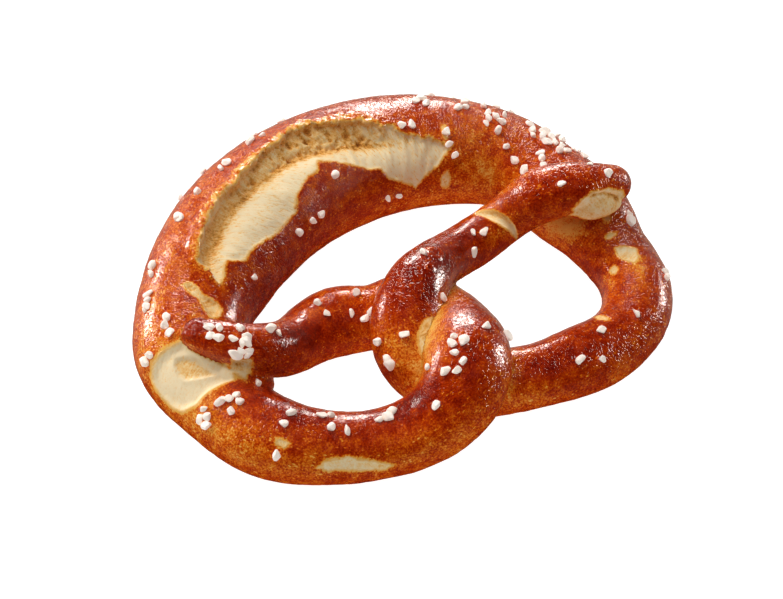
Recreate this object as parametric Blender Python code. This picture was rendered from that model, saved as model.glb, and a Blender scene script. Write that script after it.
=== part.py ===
"""Soft pretzel, baked, about 17 cm wide.

One rope of dough: thin arms at both ends, a fat belly in the middle. The ends cross twice over
the hole in the middle and lie on the belly. Lengths are millimetres until the mesh is built,
which is in metres, with +Z up and the flat underside at Z = 0.
"""
import bpy
import bmesh
import numpy as np
from mathutils import Vector

MM = 0.001

# Driving sizes, in mm.
LOBE_WIDTH = 23.0          # dough beside the two small holes
BELLY_WIDTH = 45.0         # the fat middle, opposite the twist
ARM_WIDTH = 16.0           # the thin arms
SINK = 0.05                # share of a resting strand's height that the tray flattens
ROUND_THIN = 0.94          # height / width of a strand as thin as ARM_WIDTH
ROUND_THICK = 0.86         # height / width of a strand as thick as THICK_FROM or more
THICK_FROM = 22.0
TRAY_THICKNESS = 20.0

# Ring spacing along the rope and columns round it.
COLUMNS = 28
RING_GAP = 5.6
RING_GAP_FINE = 3.0
RING_GAP_END = 1.2

# The rope from the left tip to the right tip: name, x, y, height of the centre line
# over the tray (0: the strand rests on the tray), width.
ROPE = [
    ("left_tip", -66.5, 13.5, 27.0, 9.0),
    ("left_end", -55.0, 0.0, 24.5, 14.5),
    ("left_arm_1", -46.0, -2.0, 18.5, 17.5),
    ("left_arm_2", -33.0, 1.5, 11.5, 19.0),
    ("left_arm_3", -18.0, 3.0, 0.0, LOBE_WIDTH),
    ("left_arm_4", -9.0, -1.0, 0.0, LOBE_WIDTH - 2.0),
    ("left_under", 5.0, -4.0, 8.0, LOBE_WIDTH - 2.0),
    ("left_rise", 10.0, -15.5, 13.0, ARM_WIDTH),
    ("left_top", 4.5, -30.0, 19.5, LOBE_WIDTH - 1.0),
    ("left_over", -8.5, -48.0, 21.5, LOBE_WIDTH + 3.0),
    ("left_fall", -17.0, -49.5, 14.5, LOBE_WIDTH + 1.0),
    ("left_lobe_1", -33.0, -44.5, 0.0, LOBE_WIDTH - 1.0),
    ("left_lobe_2", -48.5, -36.5, 0.0, LOBE_WIDTH),
    ("left_lobe_3", -62.5, -20.5, 0.0, LOBE_WIDTH + 3.5),
    ("left_lobe_4", -65.5, -5.5, 0.0, LOBE_WIDTH + 4.0),
    ("belly_1", -65.0, 12.0, 0.0, BELLY_WIDTH - 12.0),
    ("belly_2", -55.5, 27.0, 0.0, BELLY_WIDTH - 9.0),
    ("belly_3", -39.5, 39.5, 0.0, BELLY_WIDTH - 3.5),
    ("belly_4", -9.0, 52.0, 0.0, BELLY_WIDTH),
    ("belly_5", 25.5, 52.0, 0.0, BELLY_WIDTH - 2.0),
    ("belly_6", 53.0, 39.5, 0.0, BELLY_WIDTH - 6.5),
    ("belly_7", 65.5, 27.0, 0.0, BELLY_WIDTH - 11.0),
    ("belly_8", 71.0, 6.5, 0.0, BELLY_WIDTH - 14.0),
    ("right_lobe_1", 72.0, -9.0, 0.0, LOBE_WIDTH + 7.0),
    ("right_lobe_2", 70.5, -23.5, 0.0, LOBE_WIDTH + 1.0),
    ("right_lobe_3", 66.0, -40.0, 0.0, LOBE_WIDTH),
    ("right_lobe_4", 52.0, -52.0, 0.0, LOBE_WIDTH - 2.0),
    ("right_lobe_5", 33.0, -53.5, 0.0, LOBE_WIDTH - 0.5),
    ("right_lobe_6", 18.0, -50.0, 0.0, LOBE_WIDTH - 2.5),
    ("right_under", 4.5, -44.0, 8.0, LOBE_WIDTH - 2.0),
    ("right_lift", -8.0, -37.5, 10.5, LOBE_WIDTH - 3.0),
    ("right_rise", -11.0, -25.0, 17.0, LOBE_WIDTH - 1.0),
    ("right_over", 0.0, -12.0, 24.0, LOBE_WIDTH - 3.0),
    ("right_arm_1", 18.0, -3.0, 19.5, ARM_WIDTH),
    ("right_arm_2", 35.0, 1.0, 15.5, ARM_WIDTH),
    ("right_arm_3", 47.0, 0.0, 20.0, ARM_WIDTH),
    ("right_arm_4", 54.5, -5.5, 28.5, ARM_WIDTH + 2.5),
    ("right_end", 65.5, -13.0, 32.0, ARM_WIDTH - 0.5),
    ("right_tip", 80.5, -17.0, 29.0, ARM_WIDTH - 5.0),
]

# The burst on the belly: mm along the rope past belly_2, and angle round it in degrees
# (0 faces the holes, 90 is the top).
BURST_UPPER = [(3, 68), (15, 88), (33, 99), (58, 101), (78, 92), (98, 69), (121, 45)]
BURST_LOWER = [(3, 68), (11, 58), (29, 41), (45, 43), (55, 56), (64, 63), (73, 46), (87, 24),
               (99, 13), (109, 27), (121, 45)]
BURST_DEPTH = 4.2          # how far the crumb lies below the crust, under the upper lip
BURST_LIP = 1.6            # how far the upper lip stands proud
LIP_STEP = 4.0             # degrees that the wall under the lip takes
LIP_FADE = 12.0            # degrees over which the lip falls back to the crust
BURST_RAMP = 14.0          # mm over which the burst opens and closes
BURST_NARROWEST = 22.0     # degrees kept between its edges, so that its columns stay apart

# The torn side below the left end: mm past left_lobe_4 and degrees.
TEAR_ALONG = (-3.0, 18.0)
TEAR_ROUND = (82.0, 158.0)
TEAR_DEPTH = 2.2

# The crack round the right arm: mm past right_arm_2.
CRACK_ALONG = 9.0
CRACK_LEAN = 0.07          # mm along the rope for each degree round it
CRACK_DEPTH = 1.0
CRACK_HALF = 2.6

# Dough webs that join the two ends to what they lie on: station, then mm to the rope's right,
# mm along it, mm up, and the three half sizes in the same order.
WEBS = [
    ("left_end", (6.5, 4.0, -7.0), (5.0, 9.0, 6.0)),
    ("right_end", (4.5, 2.0, -5.0), (5.5, 10.0, 5.5)),
]


def along(points):
    """Distance of each point from the first, along the straight steps between them."""
    steps = np.linalg.norm(np.diff(points, axis=0), axis=1)
    return np.concatenate(([0.0], np.cumsum(steps)))


def smooth_curve(knots, values, at):
    """Natural cubic spline through values at knots, read at the given places."""
    count = len(knots)
    gap = np.diff(knots)
    matrix = np.eye(count)
    right = np.zeros_like(values)
    for i in range(1, count - 1):
        matrix[i, i - 1:i + 2] = gap[i - 1], 2 * (gap[i - 1] + gap[i]), gap[i]
        right[i] = 6 * ((values[i + 1] - values[i]) / gap[i] - (values[i] - values[i - 1]) / gap[i - 1])
    bend = np.linalg.solve(matrix, right)
    k = np.clip(np.searchsorted(knots, at, side="right") - 1, 0, count - 2)
    width = gap[k][:, None]
    after = (knots[k + 1] - at)[:, None]
    before = (at - knots[k])[:, None]
    cubic = (bend[k] * after ** 3 + bend[k + 1] * before ** 3) / (6 * width)
    left = (values[k] / width - bend[k] * width / 6) * after
    return cubic + left + (values[k + 1] / width - bend[k + 1] * width / 6) * before


def ease(x):
    """0 below 0, 1 above 1, and smooth between."""
    x = np.clip(x, 0.0, 1.0)
    return x * x * (3.0 - 2.0 * x)


def stations():
    """Each station's x, y, z, half width and half height, in mm."""
    rows = []
    for _name, x, y, lift, width in ROPE:
        thin = np.clip((THICK_FROM - width) / (THICK_FROM - ARM_WIDTH), 0.0, 1.0)
        height = width * (ROUND_THICK + (ROUND_THIN - ROUND_THICK) * thin)
        z = lift if lift > 0.0 else (0.5 - SINK) * height
        rows.append((x, y, z, 0.5 * width, 0.5 * height))
    return np.array(rows)


class Rope:
    """The smooth rope through the stations."""

    def __init__(self):
        self.rows = stations()
        self.knots = along(self.rows[:, :3])
        self.length = self.knots[-1]
        self.place = {row[0]: knot for row, knot in zip(ROPE, self.knots)}

    def frame(self, s):
        """Centre, direction to the right of travel, direction up, half width, half height."""
        rows = smooth_curve(self.knots, self.rows, s)
        ahead = smooth_curve(self.knots, self.rows, s + 0.5)[:, :3]
        behind = smooth_curve(self.knots, self.rows, s - 0.5)[:, :3]
        forward = ahead - behind
        forward /= np.linalg.norm(forward, axis=1, keepdims=True)
        side = np.cross(forward, (0.0, 0.0, 1.0))
        side /= np.linalg.norm(side, axis=1, keepdims=True)
        up = np.cross(side, forward)
        return rows[:, :3], forward, side, up, rows[:, 3], rows[:, 4]

    def end_rounding(self, s):
        """1 along the rope, falling to 0 in a half round at the two tips."""
        left = np.clip(s / self.rows[0, 3], 0.0, 1.0)
        right = np.clip((self.length - s) / self.rows[-1, 3], 0.0, 1.0)
        return np.sqrt(1.0 - (1.0 - np.minimum(left, right)) ** 2)


def ring_places(rope):
    """Where the rings lie: close together at the tips, the burst and the crack."""
    burst = rope.place["belly_2"] + np.array((BURST_UPPER[0][0] - 4.0, BURST_UPPER[-1][0] + 4.0))
    crack = rope.place["right_arm_2"] + CRACK_ALONG + np.array((-8.0, 8.0))
    places = []
    s = 0.15
    while s < rope.length - 0.15:
        places.append(s)
        near_tip = min(s, rope.length - s) < rope.rows[0, 3]
        fine = burst[0] < s < burst[1] or crack[0] < s < crack[1]
        s += RING_GAP_END if near_tip else RING_GAP_FINE if fine else RING_GAP
    return np.array(places + [rope.length - 0.15])


def burst_edges(rope, s):
    """Angles of the burst's lower and upper edge, and how open it is, at each place."""
    local = s - rope.place["belly_2"]
    lower = np.interp(local, *zip(*BURST_LOWER))
    upper = np.interp(local, *zip(*BURST_UPPER))
    middle = 0.5 * (lower + upper)
    half = max(0.5 * (upper - lower), 0.5 * BURST_NARROWEST)
    start, end = BURST_UPPER[0][0], BURST_UPPER[-1][0]
    opening = ease((local - start) / BURST_RAMP) * ease((end - local) / BURST_RAMP)
    return middle - half, middle + half, opening


def columns_at(lower, upper, opening):
    """Angles of one ring's columns, drawn to the burst's edges where it is open."""
    even = np.arange(COLUMNS) * 360.0 / COLUMNS - 90.0
    step = 360.0 / COLUMNS
    marks = np.array((-90.0, 3 * step, 6 * step, 7 * step, 180.0, 270.0))
    drawn = np.array((-90.0, lower, upper - LIP_STEP, upper, 180.0, 270.0))
    return np.interp(even, marks, marks + (drawn - marks) * min(1.0, 3.0 * opening))


def burst_relief(angle, lower, upper, opening):
    """Height of the burst over the plain rope: a dish, deepest below the proud upper lip."""
    across = (angle - lower) / (upper - lower)
    dish = -BURST_DEPTH * ease(across / 0.8)
    lip = BURST_LIP * np.exp(-((angle - upper) / LIP_FADE) ** 2)
    return opening * np.where(angle < upper - 0.5 * LIP_STEP, dish, lip)


def tear_relief(rope, s, angle):
    """The flat torn facet below the left end."""
    local = s - rope.place["left_lobe_4"]
    lengthwise = ease((local - TEAR_ALONG[0]) / 4.0) * ease((TEAR_ALONG[1] - local) / 4.0)
    crosswise = ease((angle - TEAR_ROUND[0]) / 14.0) * ease((TEAR_ROUND[1] - angle) / 14.0)
    return -TEAR_DEPTH * lengthwise * crosswise


def crack_relief(rope, s, angle):
    """The open crack that runs round the top of the right arm."""
    centre = rope.place["right_arm_2"] + CRACK_ALONG - CRACK_LEAN * (angle - 60.0)
    lengthwise = ease(1.0 - np.abs(s - centre) / CRACK_HALF)
    return -CRACK_DEPTH * lengthwise * ease((angle + 30.0) / 40.0) * ease((150.0 - angle) / 40.0)


def rope_rings(rope):
    """Points of every ring of the rope, in mm."""
    places = ring_places(rope)
    centre, _forward, side, up, half_width, half_height = rope.frame(places)
    rounding = rope.end_rounding(places)
    rings = []
    for i, s in enumerate(places):
        lower, upper, opening = burst_edges(rope, s)
        angle = columns_at(lower, upper, opening)
        relief = burst_relief(angle, lower, upper, opening)
        relief += tear_relief(rope, s, angle) + crack_relief(rope, s, angle)
        turn = np.radians(angle)
        right = (half_width[i] + relief) * rounding[i] * np.cos(turn)
        high = (half_height[i] + relief) * rounding[i] * np.sin(turn)
        rings.append(centre[i] + right[:, None] * side[i] + high[:, None] * up[i])
    return rings


def add_rope(mesh, rope):
    """Skin the rings and close both tips."""
    rows = [[mesh.verts.new(point) for point in ring] for ring in rope_rings(rope)]
    for low, high in zip(rows, rows[1:]):
        for k in range(COLUMNS):
            n = (k + 1) % COLUMNS
            mesh.faces.new((low[k], high[k], high[n], low[n]))
    mesh.faces.new(rows[0])
    mesh.faces.new(rows[-1][::-1])


def add_web(mesh, rope, station, offset, half_sizes):
    """An ellipsoid of dough in the corner between an end and the strand that it lies on."""
    centre, forward, side, up, _width, _height = rope.frame(np.array((rope.place[station],)))
    axes = np.vstack((side, forward, up))
    middle = centre[0] + np.array(offset) @ axes
    ball = bmesh.ops.create_icosphere(mesh, subdivisions=2, radius=1.0)["verts"]
    for vert in ball:
        vert.co = Vector(middle + np.array(vert.co) * half_sizes @ axes)


def crust_material():
    """Browned lye crust."""
    material = bpy.data.materials.new("crust")
    material.use_nodes = True
    shader = material.node_tree.nodes["Principled BSDF"]
    shader.inputs["Base Color"].default_value = (0.30, 0.07, 0.015, 1.0)
    shader.inputs["Roughness"].default_value = 0.38
    shader.inputs["Metallic"].default_value = 0.0
    return material


def mesh_object(name, mesh):
    """Turn the bmesh into an object of the scene."""
    data = bpy.data.meshes.new(name)
    mesh.to_mesh(data)
    mesh.free()
    thing = bpy.data.objects.new(name, data)
    bpy.context.collection.objects.link(thing)
    return thing


def make_dough():
    """The rope and its webs, as overlapping closed shells centred on the tray."""
    rope = Rope()
    mesh = bmesh.new()
    add_rope(mesh, rope)
    for web in WEBS:
        add_web(mesh, rope, *web)
    points = np.array([vert.co for vert in mesh.verts])
    middle = 0.5 * (points.min(axis=0) + points.max(axis=0))
    for vert in mesh.verts:
        vert.co = Vector((vert.co.x - middle[0], vert.co.y - middle[1], vert.co.z)) * MM
    return mesh_object("pretzel", mesh)


def make_tray():
    """The baking tray that presses the underside flat."""
    mesh = bmesh.new()
    bmesh.ops.create_cube(mesh, size=1.0)
    size = Vector((300.0, 300.0, TRAY_THICKNESS)) * MM
    for vert in mesh.verts:
        vert.co = Vector((vert.co.x * size.x, vert.co.y * size.y, (vert.co.z - 0.5) * size.z))
    tray = mesh_object("tray_cutter", mesh)
    tray.hide_render = True
    tray.display_type = "WIRE"
    return tray


def main():
    for thing in list(bpy.data.objects):
        bpy.data.objects.remove(thing)
    pretzel = make_dough()
    pretzel.data.materials.append(crust_material())
    flatten = pretzel.modifiers.new("flatten_and_fuse", "BOOLEAN")
    flatten.operation = "DIFFERENCE"
    flatten.solver = "EXACT"
    flatten.use_self = True
    flatten.object = make_tray()


main()
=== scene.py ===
"""Looks of the soft pretzel: its baked crust, the torn crumb, the salt, a studio and a camera.

The dough is modelled again at fine scale along the same rope as the CAD solid and stands in for it.
Lengths are millimetres until a mesh is built, which is in metres.
"""
from math import cos, pi, radians, sin

import bpy
import bmesh
import numpy as np
from mathutils import Matrix, Vector
from mathutils.bvhtree import BVHTree
from mathutils.kdtree import KDTree


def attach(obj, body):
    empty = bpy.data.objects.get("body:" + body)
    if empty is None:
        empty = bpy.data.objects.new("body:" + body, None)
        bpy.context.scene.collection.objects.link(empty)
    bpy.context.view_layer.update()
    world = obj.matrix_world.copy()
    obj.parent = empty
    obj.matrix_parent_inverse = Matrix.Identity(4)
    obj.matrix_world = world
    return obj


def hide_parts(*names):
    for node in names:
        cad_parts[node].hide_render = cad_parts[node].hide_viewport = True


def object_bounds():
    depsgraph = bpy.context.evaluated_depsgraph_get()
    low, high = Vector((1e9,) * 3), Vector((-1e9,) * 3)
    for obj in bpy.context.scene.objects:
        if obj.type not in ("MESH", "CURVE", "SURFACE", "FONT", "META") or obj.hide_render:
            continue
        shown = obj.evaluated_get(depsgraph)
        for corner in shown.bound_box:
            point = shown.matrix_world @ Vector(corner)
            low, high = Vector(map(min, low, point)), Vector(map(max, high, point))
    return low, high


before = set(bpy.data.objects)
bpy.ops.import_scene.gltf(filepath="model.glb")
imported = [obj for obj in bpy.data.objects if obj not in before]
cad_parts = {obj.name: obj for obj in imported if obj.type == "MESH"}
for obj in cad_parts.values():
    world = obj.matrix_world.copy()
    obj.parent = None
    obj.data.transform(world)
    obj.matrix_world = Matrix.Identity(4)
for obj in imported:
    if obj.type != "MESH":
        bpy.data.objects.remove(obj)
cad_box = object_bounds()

MM = 0.001

# -------- driving sizes, as in the CAD

LOBE_WIDTH = 23.0          # dough beside the two small holes
BELLY_WIDTH = 45.0         # the fat middle, opposite the twist
ARM_WIDTH = 16.0           # the thin arms
SINK = 0.05                # part of a strand's height that is pressed flat on the tray
ROUND_THIN = 0.94          # height over width of a strand as thin as the arms
ROUND_THICK = 0.86         # and of one from THICK_FROM on
THICK_FROM = 22.0

# The rope from the left tip to the right tip: name, x, y, height of the centre line
# over the tray (0: the strand rests on the tray), width.
ROPE = [
    ("left_tip", -66.5, 13.5, 27.0, 9.0),
    ("left_end", -55.0, 0.0, 24.5, 14.5),
    ("left_arm_1", -46.0, -2.0, 18.5, 17.5),
    ("left_arm_2", -33.0, 1.5, 11.5, 19.0),
    ("left_arm_3", -18.0, 3.0, 0.0, LOBE_WIDTH),
    ("left_arm_4", -9.0, -1.0, 0.0, LOBE_WIDTH - 2.0),
    ("left_under", 5.0, -4.0, 8.0, LOBE_WIDTH - 2.0),
    ("left_rise", 10.0, -15.5, 13.0, ARM_WIDTH),
    ("left_top", 4.5, -30.0, 19.5, LOBE_WIDTH - 1.0),
    ("left_over", -8.5, -48.0, 21.5, LOBE_WIDTH + 3.0),
    ("left_fall", -17.0, -49.5, 14.5, LOBE_WIDTH + 1.0),
    ("left_lobe_1", -33.0, -44.5, 0.0, LOBE_WIDTH - 1.0),
    ("left_lobe_2", -48.5, -36.5, 0.0, LOBE_WIDTH),
    ("left_lobe_3", -62.5, -20.5, 0.0, LOBE_WIDTH + 3.5),
    ("left_lobe_4", -65.5, -5.5, 0.0, LOBE_WIDTH + 4.0),
    ("belly_1", -65.0, 12.0, 0.0, BELLY_WIDTH - 12.0),
    ("belly_2", -55.5, 27.0, 0.0, BELLY_WIDTH - 9.0),
    ("belly_3", -39.5, 39.5, 0.0, BELLY_WIDTH - 3.5),
    ("belly_4", -9.0, 52.0, 0.0, BELLY_WIDTH),
    ("belly_5", 25.5, 52.0, 0.0, BELLY_WIDTH - 2.0),
    ("belly_6", 53.0, 39.5, 0.0, BELLY_WIDTH - 6.5),
    ("belly_7", 65.5, 27.0, 0.0, BELLY_WIDTH - 11.0),
    ("belly_8", 71.0, 6.5, 0.0, BELLY_WIDTH - 14.0),
    ("right_lobe_1", 72.0, -9.0, 0.0, LOBE_WIDTH + 7.0),
    ("right_lobe_2", 70.5, -23.5, 0.0, LOBE_WIDTH + 1.0),
    ("right_lobe_3", 66.0, -40.0, 0.0, LOBE_WIDTH),
    ("right_lobe_4", 52.0, -52.0, 0.0, LOBE_WIDTH - 2.0),
    ("right_lobe_5", 33.0, -53.5, 0.0, LOBE_WIDTH - 0.5),
    ("right_lobe_6", 18.0, -50.0, 0.0, LOBE_WIDTH - 2.5),
    ("right_under", 4.5, -44.0, 8.0, LOBE_WIDTH - 2.0),
    ("right_lift", -8.0, -37.5, 10.5, LOBE_WIDTH - 3.0),
    ("right_rise", -11.0, -25.0, 17.0, LOBE_WIDTH - 1.0),
    ("right_over", 0.0, -12.0, 24.0, LOBE_WIDTH - 3.0),
    ("right_arm_1", 18.0, -3.0, 19.5, ARM_WIDTH),
    ("right_arm_2", 35.0, 1.0, 15.5, ARM_WIDTH),
    ("right_arm_3", 47.0, 0.0, 20.0, ARM_WIDTH),
    ("right_arm_4", 54.5, -5.5, 28.5, ARM_WIDTH + 2.5),
    ("right_end", 65.5, -13.0, 32.0, ARM_WIDTH - 0.5),
    ("right_tip", 80.5, -17.0, 29.0, ARM_WIDTH - 5.0),
]

# Dough webs that join the two ends to what they lie on: station, then mm to the rope's right,
# mm along it, mm up, and the three half sizes in the same order.
WEBS = [
    ("left_end", (6.5, 4.0, -7.0), (5.0, 9.0, 6.0)),
    ("right_end", (3.8, 2.0, -4.5), (4.6, 9.5, 5.0)),
]

# Places on the rope are a station, mm along the rope past it, and an angle in degrees round it
# (0 faces right of travel, which on the belly is towards the holes; 90 is the top).

# The burst: mm past belly_2 and angle, along its upper lip, its lower edge and the foot of the
# wall below the lip.
BURST_UPPER = [(3, 60), (5, 72), (9, 88), (14, 92), (24, 97), (50, 97), (60, 98), (69, 102), (76, 95),
               (87, 86), (92, 77), (98, 69), (104, 62), (110, 59), (117, 54)]
BURST_FOOT = [(3, 59), (6, 66), (10, 76), (14, 81), (20, 83), (35, 85), (44, 82), (60, 81), (65, 76),
              (71, 72), (77, 70), (83, 66), (90, 61), (100, 57), (117, 54)]
BURST_LOWER = [(3, 60), (8, 60), (13, 64), (16, 50), (24, 47), (30, 40), (44, 38), (48, 49), (55, 55),
               (62, 57), (65, 65), (70, 56), (75, 49), (82, 39), (87, 36), (90, 26), (95, 19), (102, 10),
               (106, 20), (112, 33), (117, 54)]
BURST_DEPTH = 4.2          # how far the crumb lies below the crust, under the upper lip
BURST_FADE = (82.0, 22.0)  # where the wall starts to run out, and over how many mm
BURST_POROUS = (24.0, 14.0)    # where the wall starts to have pores, and over how many mm
LIP_RISE = 1.5             # how far the upper lip stands proud
CRUST_EDGE = 0.5           # how far the crust's edge stands over the crumb

# Outlines of the other torn places, with the facet inside the tear: mm past the station, and angle.
TEAR = ("left_lobe_4", [(17, 100), (14, 96), (10, 88), (7, 80), (2, 70), (-2, 76), (-1, 92), (0, 114),
                        (0, 136), (3, 160), (6, 166), (10, 165), (14, 158), (16, 144), (17, 125)])
FACET = ("left_lobe_4", [(14.6, 118), (13.4, 104), (11.4, 96), (7.6, 90), (3.8, 87), (4.4, 98), (5.8, 110),
                         (8, 126), (10.4, 128), (12.8, 125)])
CRACK = ("right_arm_2", [(2.4, 118), (4.8, 81), (7.2, 56), (9.4, 28), (9.8, 5), (9.8, -12), (11.6, 2),
                         (14.6, 20), (14.4, 44), (10.8, 77), (6.6, 107), (3.8, 122)])
CRACK_LEAN = 0.09          # mm along that the crack runs for each degree round

# Smaller ones: station, outline, depth in mm (below 0: raised), how brown inside.
TORN_PATCHES = [
    ("left_end", [(-2.2, 9), (1.5, 22), (2.5, -6), (2.3, -28), (-1.9, -26)], 0.9, 0.34),
    ("belly_1", [(18, 95), (18.6, 88), (15.6, 77), (14.4, 70), (13.8, 64), (12.8, 57), (10.4, 53), (7.6, 55),
                 (6, 63), (8.2, 70), (10.8, 74), (13, 79), (14.4, 85), (16.2, 92)], 1.2, 0.42),
    ("right_end", [(-4.6, -6), (-1.8, 20), (1, 32), (4.8, 34), (9.2, 18), (11, -8), (9, -30), (0, -46),
                   (-4, -30)], 0.8, 0.16),
    ("right_lobe_1", [(21.5, 70), (22.5, 86), (25.3, 100), (28.5, 95), (31, 85), (29.5, 78), (27.5, 70),
                      (25, 66)], 0.4, 0.30),
    ("left_lobe_2", [(3.4, 156), (1.4, 145), (-1, 141), (-4.6, 139), (-8.6, 147), (-11.2, 150), (-16.8, 165),
                     (-13.8, 170), (-8.4, 164), (-4.6, 162), (-1.6, 158), (1.2, 161)], 0.2, 0.20),
    ("right_rise", [(7.6, 48), (6.2, 62), (2.6, 78), (-2, 94), (-4.2, 95), (-3.8, 87), (-1.2, 76), (2.2, 60),
                    (5, 48)], -0.5, 0.45),
]

# A fold inside the right end's torn side, carved in and darkened with a painted shadow: mm past right_end,
# and angle.
FOLD = [(0.5, 20), (3.5, 20), (6, 10), (8.5, -10)]

# Small pale blemishes: station, mm along, angle, half length along and half width round in mm.
BLEMISHES = [
    ("belly_5", 27, 15, 1.8, 2.9), ("belly_6", -4, 66, 1.0, 1.8), ("right_lobe_1", 9, 86, 1.5, 1.0),
    ("right_lobe_1", 30.6, 51, 1.7, 1.3), ("right_lobe_2", 1.3, 77, 0.9, 1.5),
    ("left_lobe_2", 12, 126, 1.6, 1.1), ("right_lobe_4", 8, 60, 1.2, 2.4),
]

# Blisters: station, mm along, angle, radius in mm.
BLISTERS = [("right_over", 10, 79, 2.2), ("right_over", 3.6, 69, 1.1)]


# -------- small maths

def ease(x):
    """0 below 0, 1 above 1, and smooth between."""
    x = np.clip(x, 0.0, 1.0)
    return x * x * (3.0 - 2.0 * x)


def bell(x, reach):
    """1 at 0, falling smoothly to nothing beyond about twice the reach."""
    return np.exp(-(x / reach) ** 2)


def lattice(i, j, k, seed):
    """A fixed random number from 0 to 1 for each whole-number place."""
    h = i.astype(np.uint32) * np.uint32(374761393) + j.astype(np.uint32) * np.uint32(668265263)
    h += k.astype(np.uint32) * np.uint32(2246822519) + np.uint32((seed * 3266489917) % 4294967296)
    h = (h ^ (h >> np.uint32(15))) * np.uint32(2246822519)
    h = (h ^ (h >> np.uint32(13))) * np.uint32(3266489917)
    return (h ^ (h >> np.uint32(16))) / 4294967295.0


def noise(points, size, seed):
    """Smooth noise from -1 to 1 at points, with lumps of the given size (one, or one per axis)."""
    p = np.asarray(points) / size
    base = np.floor(p)
    f = p - base
    f = f * f * f * (f * (f * 6.0 - 15.0) + 10.0)
    cell = base.astype(np.int64)
    total = np.zeros(len(p))
    for corner in range(8):
        step = np.array((corner & 1, (corner >> 1) & 1, corner >> 2))
        weight = np.prod(np.where(step, f, 1.0 - f), axis=1)
        i, j, k = (cell + step).T
        total += weight * lattice(i, j, k, seed)
    return 2.0 * total - 1.0


def rough_noise(points, size, seed, octaves=3):
    """Noise with finer and weaker layers on top, from about -1 to 1."""
    total = 0.0
    strength = 1.0
    reach = 0.0
    for octave in range(octaves):
        total = total + strength * noise(points, np.asarray(size) * 0.5 ** octave, seed + 17 * octave)
        reach += strength
        strength *= 0.55
    return total / reach


def cell_distance(points, size, seed):
    """Distance to the nearest of randomly shifted cell centres, in cells."""
    p = np.asarray(points) / size
    base = np.floor(p).astype(np.int64)
    best = np.full(len(p), 9.0)
    for offset in np.ndindex(3, 3, 3):
        cell = base + np.array(offset) - 1
        i, j, k = cell.T
        centre = cell + np.stack([lattice(i, j, k, seed + axis) for axis in range(3)], axis=1)
        best = np.minimum(best, np.linalg.norm(centre - p, axis=1))
    return best


def line_distance(points, line):
    """Distance of 2-D points from an open line."""
    best = np.full(len(points), 1e9)
    for a, b in zip(line, line[1:]):
        along = b - a
        t = np.clip(((points - a) @ along) / max(along @ along, 1e-9), 0.0, 1.0)
        best = np.minimum(best, np.linalg.norm(points - a - t[:, None] * along, axis=1))
    return best


def inside_outline(points, outline):
    """Whether each 2-D point lies inside a closed outline."""
    inside = np.zeros(len(points), dtype=bool)
    x, y = points.T
    for a, b in zip(outline, np.roll(outline, -1, axis=0)):
        crosses = (a[1] > y) != (b[1] > y)
        reach = a[0] + (y - a[1]) * (b[0] - a[0]) / (b[1] - a[1] if b[1] != a[1] else 1e-9)
        inside ^= crosses & (x < reach)
    return inside


def outline_depth(points, outline):
    """How far 2-D points lie inside a closed outline; negative outside."""
    closed = np.vstack((outline, outline[:1]))
    distance = line_distance(points, closed)
    return np.where(inside_outline(points, outline), distance, -distance)


# -------- the rope

def along(points):
    """Distance of each point from the first, along the straight steps between them."""
    steps = np.linalg.norm(np.diff(points, axis=0), axis=1)
    return np.concatenate(([0.0], np.cumsum(steps)))


def smooth_curve(knots, values, at):
    """Natural cubic spline through values at knots, read at the given places."""
    count = len(knots)
    gap = np.diff(knots)
    matrix = np.eye(count)
    right = np.zeros_like(values)
    for i in range(1, count - 1):
        matrix[i, i - 1:i + 2] = gap[i - 1], 2 * (gap[i - 1] + gap[i]), gap[i]
        right[i] = 6 * ((values[i + 1] - values[i]) / gap[i] - (values[i] - values[i - 1]) / gap[i - 1])
    bend = np.linalg.solve(matrix, right)
    k = np.clip(np.searchsorted(knots, at, side="right") - 1, 0, count - 2)
    width = gap[k][:, None]
    after = (knots[k + 1] - at)[:, None]
    before = (at - knots[k])[:, None]
    cubic = (bend[k] * after ** 3 + bend[k + 1] * before ** 3) / (6 * width)
    left = (values[k] / width - bend[k] * width / 6) * after
    return cubic + left + (values[k + 1] / width - bend[k + 1] * width / 6) * before


class Rope:
    """The smooth rope through the stations."""

    def __init__(self):
        rows = []
        for _name, x, y, lift, width in ROPE:
            thin = np.clip((THICK_FROM - width) / (THICK_FROM - ARM_WIDTH), 0.0, 1.0)
            height = width * (ROUND_THICK + (ROUND_THIN - ROUND_THICK) * thin)
            rows.append((x, y, lift if lift > 0.0 else (0.5 - SINK) * height, 0.5 * width, 0.5 * height))
        self.rows = np.array(rows)
        self.knots = along(self.rows[:, :3])
        self.length = self.knots[-1]
        self.place = {row[0]: knot for row, knot in zip(ROPE, self.knots)}

    def frame(self, s):
        """Centre, forward, right of travel, up, half width and half height."""
        rows = smooth_curve(self.knots, self.rows, s)
        forward = smooth_curve(self.knots, self.rows, s + 0.5)[:, :3]
        forward -= smooth_curve(self.knots, self.rows, s - 0.5)[:, :3]
        forward /= np.linalg.norm(forward, axis=1, keepdims=True)
        side = np.cross(forward, (0.0, 0.0, 1.0))
        side /= np.linalg.norm(side, axis=1, keepdims=True)
        return rows[:, :3], forward, side, np.cross(side, forward), rows[:, 3], rows[:, 4]

    def end_rounding(self, s):
        """1 along the rope, falling to 0 in a half round at the two tips."""
        left = np.clip(s / self.rows[0, 3], 0.0, 1.0)
        right = np.clip((self.length - s) / self.rows[-1, 3], 0.0, 1.0)
        return np.sqrt(1.0 - (1.0 - np.minimum(left, right)) ** 2)

    def radius(self, s):
        """Mean of the half width and half height, which turns an angle into mm."""
        rows = smooth_curve(self.knots, self.rows, np.atleast_1d(s))
        return 0.5 * (rows[:, 3] + rows[:, 4])


rope = Rope()


# -------- torn places on the unrolled rope

FAR = 9.0                  # mm from a torn place beyond which it has no effect


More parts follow.
